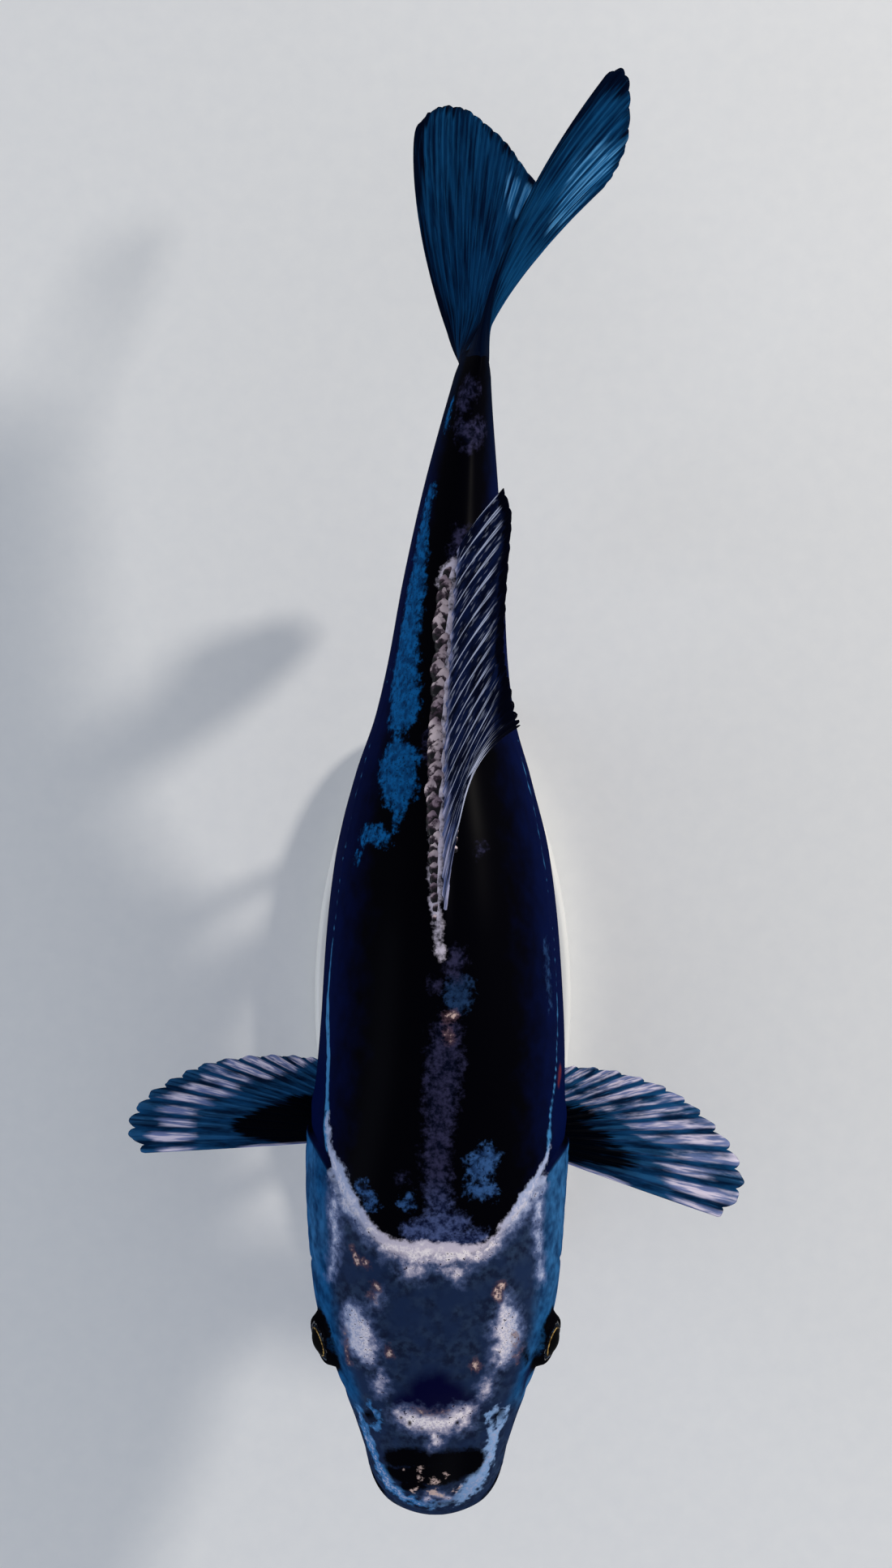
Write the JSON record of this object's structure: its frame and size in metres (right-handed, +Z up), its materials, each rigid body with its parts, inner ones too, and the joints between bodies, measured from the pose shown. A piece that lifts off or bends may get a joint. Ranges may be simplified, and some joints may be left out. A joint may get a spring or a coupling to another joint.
{
  "type": "koi carp",
  "caption": "Life-size still model of a black-and-white koi carp, bent gently as it swims with fins spread, held on two rods above an oval base.",
  "frame": {"origin": "centre of the flat underside of the display stand's base", "axes": "+Z up; +Y from the head towards the tail, along the fish; +X towards the fish's left side"},
  "size_m": [0.1317, 0.2963, 0.1063],
  "materials": {
    "skin": "smooth wet scaleless skin, jet black with slate, lilac and white markings",
    "gill_skin": "pearly blue-white skin over the gill cover",
    "fin": "dark blue fin membrane with pale rays",
    "eye": "wet glossy eye with a gold-rimmed black iris",
    "stand_base": "white satin lacquer",
    "stand_rod": "fine brushed stainless steel"
  },
  "bodies": {
    "root": {"head": "skin", "lower_jaw": "skin", "gill_cover_left": "gill_skin", "gill_cover_right": "gill_skin", "eye_left": "eye", "eye_right": "eye", "barbel_front_left": "skin", "barbel_front_right": "skin", "barbel_rear_left": "skin", "barbel_rear_right": "skin", "trunk": "skin", "tail_stalk": "skin", "dorsal_fin": "fin", "pectoral_fin_left": "fin", "pectoral_fin_right": "fin", "pelvic_fin_left": "fin", "pelvic_fin_right": "fin", "anal_fin": "fin", "tail_fin_upper": "fin", "tail_fin_lower": "fin", "stand_base": "stand_base", "stand_rod_front": "stand_rod", "stand_rod_rear": "stand_rod"}
  },
  "joints": []
}
